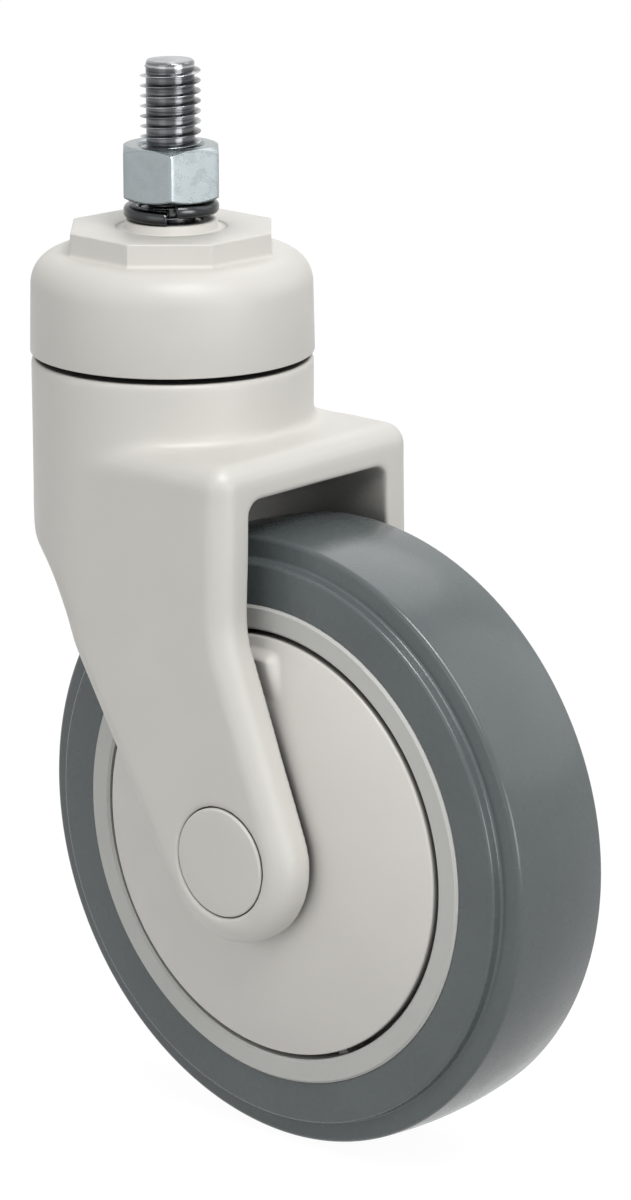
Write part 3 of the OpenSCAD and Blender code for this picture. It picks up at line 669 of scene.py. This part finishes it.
def make_fork():
    voxel, lo, hi = 0.6, (-31, -32.5, -136.5), (59, 32.5, -9)
    x, y, z = grid(lo, hi, voxel)
    rho = np.hypot(x, y)
    width = np.abs(y) - leg_splay(z)
    plan = np.where(x < 0, np.hypot(x, np.maximum(width, 0)), width)
    side = outline_distance(leg_outline(), x[:, 0, :], z[:, 0, :])[:, None, :] + 0 * x
    legs = meet(side, plan - HALF_FORK, LEG_EDGE)
    hub = meet(meet(rho - HUB_R, z - HUB_TOP, 0.4), HUB_LOW - z, 3.0)
    body = np.minimum(hub, legs)
    # Soft hollows where the shoulder leaves the hub and where the hub runs out into the heel
    soft = blurred(body, SHOULDER_BLUR)
    at_shoulder = (smooth_step(z, -50, -44) * (1 - smooth_step(z, -34, -30))
                   * (1 - smooth_step(rho, 32, 35)))
    body = body + (soft - body) * at_shoulder
    soft = blurred(body, HEEL_BLUR)
    at_heel = (smooth_step(z, -82, -74) * (1 - smooth_step(z, -60, -55))
               * (1 - smooth_step(x, 2, 12)))
    body = body + (soft - body) * at_heel
    neck = np.maximum(np.maximum(rho - NECK_R, z - NECK_TOP), NECK_LOW - z)
    body = np.minimum(body, neck)
    from_axle = np.hypot(x - TRAIL, z - AXLE_Z)
    arch = meet(from_axle - ARCH_R, width - HALF_GAP, 3)
    bosses = np.maximum(from_axle - BOSS_R, HALF_GAP + 0.05 - np.abs(y))
    arch = np.maximum(arch, -bosses)
    body = cut(body, arch, 0.5)
    for r, low, high in SWIVEL_BORES:
        body = np.maximum(body, -np.maximum(rho - r, np.maximum(low - z, z - high)))
    body = np.maximum(body, AXLE_BORE_R - from_axle)
    cover_bore = np.maximum(from_axle - COVER_BORE_R, COVER_BORE_Y - np.abs(y))
    body = cut(body, cover_bore, 0.3)
    points, quads = skin(blurred(body, FACE_BLUR), lo, voxel)
    add_piece("fork_moulding", points, quads, "fork", "moulding", ["fork"], math.radians(180))


# Wheel, guards and axle caps
def make_tyre():
    half, inner_r, ledge_r = 15.1, 48.62, 57.0
    tread_side, tread_r = 12.6, WHEEL_R - 0.85
    crown_half, crown_drop = 11, 0.72
    crown = [((WHEEL_R - crown_drop * (h / crown_half) ** 2, h), 0)
             for h in (-9, -7.5, -6, -4.5, -3, -1.5)]
    right = [((inner_r, -half), 0.25), ((ledge_r, -half), 0.75),
             ((ledge_r + 0.3, -tread_side - 0.1), 0.6), ((tread_r, -tread_side), 1.1)] + crown
    left = [((r, -h), k) for (r, h), k in right[::-1]]
    outline = rounded_outline(right + [((WHEEL_R, 0), 0)] + left, math.radians(9))
    points, faces = turned([tuple(p) for p in outline], 256, about_axle(1))
    add_piece("tyre_rubber", points, faces, "wheel", "tyre", ["tyre"])


def make_axle_caps():
    r, rise, inner_y = 10.96, 29.7, 24
    for name, side in (("left", 1), ("right", -1)):
        outline = rounded_outline([((0.01, inner_y), 0), ((r, inner_y), 0.4), ((r, rise), 0.6),
                                   ((r * 0.5, rise + 0.22), 0), ((0.01, rise + 0.28), 0)],
                                  math.radians(12))
        points, faces = turned([tuple(p) for p in outline], 128, about_axle(side))
        add_piece(name + "_axle_cover", points, faces, "fork", "moulding", [name + "_axle_cap"])


def make_guards():
    r_edge, edge, rise, wall = 42.75, 15.72, 4.25, 2.0
    around, hub_r, rings = 512, 12.4, 112
    dome = lambda r: edge + rise * (1 - (r / r_edge) ** 3)
    rim_edge = 0.35
    bend = np.radians([30, 60, 90])
    radii = np.concatenate([np.linspace(hub_r, r_edge - rim_edge, rings),
                            r_edge - rim_edge + rim_edge * np.sin(bend)])
    drop = np.concatenate([np.zeros(rings), rim_edge * (1 - np.cos(bend))])
    # A low pad that shows in front of the leg
    pad_outline = rounded_outline([((40.8, -69.0), 3.0), ((50.2, -101), 3.0), ((45, -116), 8),
                                   ((25, -118), 6), ((2, -84), 3), ((10, -74), 4)])
    pad_h, pad_fade, pad_end = 18.3, 38.4, 40.8
    t = np.linspace(0, 2 * math.pi, around, endpoint=False)
    r, a = np.meshgrid(radii, t)
    px, pz = TRAIL + r * np.cos(a), AXLE_Z + r * np.sin(a)
    top = dome(np.minimum(r, r_edge)) - drop[None, :]
    pad = (smooth_step(-outline_distance(pad_outline, px, pz), -0.8, 1.9)
           * (1 - smooth_step(r, pad_fade, pad_end)))
    top = np.maximum(top, top + (pad_h - top) * pad)
    skirt_y, mid_r, bore_r, hub_low, hub_high = edge - 3, 28.0, hub_r - 4, 17.4, 19.95
    inside = [(r_edge, skirt_y), (r_edge - 2.6, skirt_y), (r_edge - 2.7, dome(r_edge - 2.7) - wall),
              (mid_r, dome(mid_r) - wall), (hub_r, dome(hub_r) - wall), (bore_r, hub_low),
              (bore_r, hub_high), (hub_r, hub_high)]
    for name, side in (("left", 1), ("right", -1)):
        columns = [np.stack([px[:, k], side * top[:, k], pz[:, k]], 1) for k in range(len(radii))]
        columns += [np.stack([TRAIL + q * np.cos(t), np.full(around, side * h),
                              AXLE_Z + q * np.sin(t)], 1) for q, h in inside]
        points = np.vstack(columns)
        n = len(columns)
        i = np.arange(around)
        j = (i + 1) % around
        faces = []
        for k in range(n):
            q = (k + 1) % n
            faces += np.stack([k * around + i, k * around + j, q * around + j, q * around + i],
                              1).tolist()
        add_piece(name + "_guard", points, faces, "fork", "guard", [name + "_thread_guard"],
                  math.radians(50))


make_camera()
make_world(strength=0.43)
make_floor(paper_tone=0.55, glow=1.14, glow_share=0.84)
make_lamp("key", azimuth=70, elevation=50, distance=900, size=0.5, watts=4.3, colour=WARM_WHITE)
make_lamp("fill", azimuth=5, elevation=12, distance=1000, size=0.8, watts=1.4)
make_lamp("back", azimuth=-150, elevation=55, distance=1000, size=0.8, watts=2.3)
make_lamp("sheen", azimuth=140, elevation=30, distance=900, size=0.8, watts=1.5, only_mirrored=True)
make_lamp("spark", azimuth=55, elevation=66, distance=900, size=0.3, watts=5.0, only_mirrored=True)
make_lamp("streak", azimuth=84, elevation=0, distance=900, size=0.5, watts=4.0, only_mirrored=True)
dress_nodes()
make_stem()
make_nut()
make_washer()
make_cap()
make_fork()
make_tyre()
make_axle_caps()
make_guards()

bpy.context.scene.view_settings.view_transform = "Standard"
